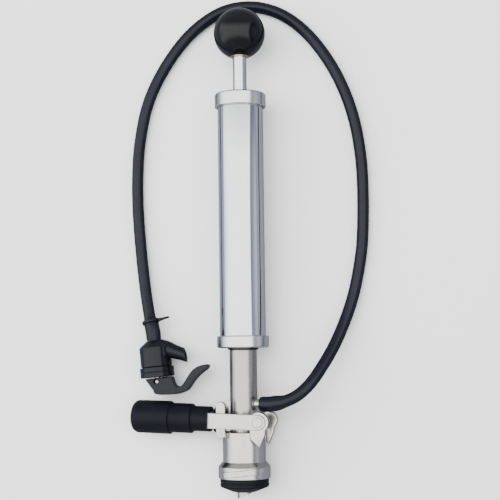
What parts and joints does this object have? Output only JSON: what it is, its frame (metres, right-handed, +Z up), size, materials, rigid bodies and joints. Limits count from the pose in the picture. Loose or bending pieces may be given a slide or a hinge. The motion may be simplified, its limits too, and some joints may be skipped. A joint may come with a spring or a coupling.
{
  "type": "keg party pump",
  "caption": "Hand pump on a lever-operated keg coupler, with a beer hose looped back to a squeeze faucet with a hook lever.",
  "frame": {"origin": "on the surface that the pump lies on, under the middle of the pump and coupler without the hose and faucet", "axes": "+Y along the pump's axis towards the knob (the axis rises 1.4 degrees), -X towards the lever's grip, +Z up from the surface"},
  "size_m": [0.2288, 0.4733, 0.0591],
  "materials": {
    "chrome_plate": "mirror chrome plate",
    "cast_nickel": "satin plated casting",
    "stainless": "drawn stainless tube, brushed round",
    "zinc_steel": "zinc plated steel",
    "brass": "turned brass",
    "knob_black": "polished moulded knob",
    "grip_black": "satin moulded grip",
    "faucet_black": "semi-gloss moulded plastic",
    "hose_black": "smooth semi-gloss hose",
    "seal_rubber": "moulded rubber",
    "white_nylon": "turned nylon",
    "leather": "greased leather"
  },
  "bodies": {
    "coupler": {"coupler_body": "cast_nickel", "body_seal": "seal_rubber", "probe_ring": "seal_rubber", "guide_bush": "white_nylon", "pivot_screw_near": "cast_nickel", "pivot_screw_far": "cast_nickel"},
    "lever": {"lever_yoke": "cast_nickel", "lever_grip": "grip_black", "yoke_bumper": "grip_black", "grip_spindle": "zinc_steel"},
    "pump": {"probe_end": "stainless", "pump_tube": "stainless", "beer_tube": "stainless", "hose_barb": "chrome_plate", "drive_collar": "stainless", "drive_pin_near": "zinc_steel", "drive_pin_far": "zinc_steel", "lower_cap": "chrome_plate", "tube_ring": "seal_rubber", "barrel": "chrome_plate", "barrel_gasket_lower": "seal_rubber", "barrel_gasket_upper": "seal_rubber", "upper_cap": "chrome_plate", "rod_bush": "stainless", "valve_plate": "white_nylon", "beer_hose": "hose_black", "hose_clamp": "faucet_black", "faucet_body": "faucet_black", "faucet_bonnet": "faucet_black", "plunger_spring": "zinc_steel"},
    "piston": {"pump_knob": "knob_black", "knob_insert": "brass", "piston_rod": "chrome_plate", "rod_bumper": "seal_rubber", "piston_plate_upper": "zinc_steel", "piston_cup": "leather", "piston_plate_lower": "zinc_steel", "piston_nut": "zinc_steel"},
    "valve": {"valve_disc": "seal_rubber"},
    "ball": {"probe_ball": "zinc_steel"},
    "trigger": {"faucet_trigger": "faucet_black"},
    "plunger": {"plunger": "stainless", "plunger_seal": "seal_rubber", "plunger_pin": "stainless"}
  },
  "joints": [
    {"name": "lever_pivot", "type": "hinge", "parent": "coupler", "child": "lever", "pos_m": [0.05731, -0.15806, 0.02816], "axis": [-0.1011, -0.024, 0.9946], "range_deg": [0, 19.4]},
    {"name": "probe_slide", "type": "slide", "parent": "coupler", "child": "pump", "axis": [0, -0.9997, -0.0241], "range_m": [0, 0.0076]},
    {"name": "piston_slide", "type": "slide", "parent": "pump", "child": "piston", "axis": [0, 0.9997, 0.0241], "range_m": [-0.033, 0.158]},
    {"name": "valve_lift", "type": "slide", "parent": "pump", "child": "valve", "axis": [0, -0.9997, -0.0241], "range_m": [0, 0.0015]},
    {"name": "ball_lift", "type": "slide", "parent": "pump", "child": "ball", "axis": [0, 0.9997, 0.0241], "range_m": [0, 0.003]},
    {"name": "trigger_pivot", "type": "hinge", "parent": "pump", "child": "trigger", "pos_m": [-0.02966, -0.11616, 0.01617], "axis": [0, 0, 1], "range_deg": [0, 16], "stiffness_Nm_per_rad": 0.5, "springref_deg": -11.46},
    {"name": "plunger_slide", "type": "slide", "parent": "pump", "child": "plunger", "axis": [0.1045, -0.9945, 0], "range_m": [0, 0.0042]}
  ],
  "couplings": [
    {"joint": "probe_slide", "follows": "lever_pivot", "m_per_rad": 0.022437},
    {"joint": "plunger_slide", "follows": "trigger_pivot", "m_per_rad": 0.0148}
  ]
}
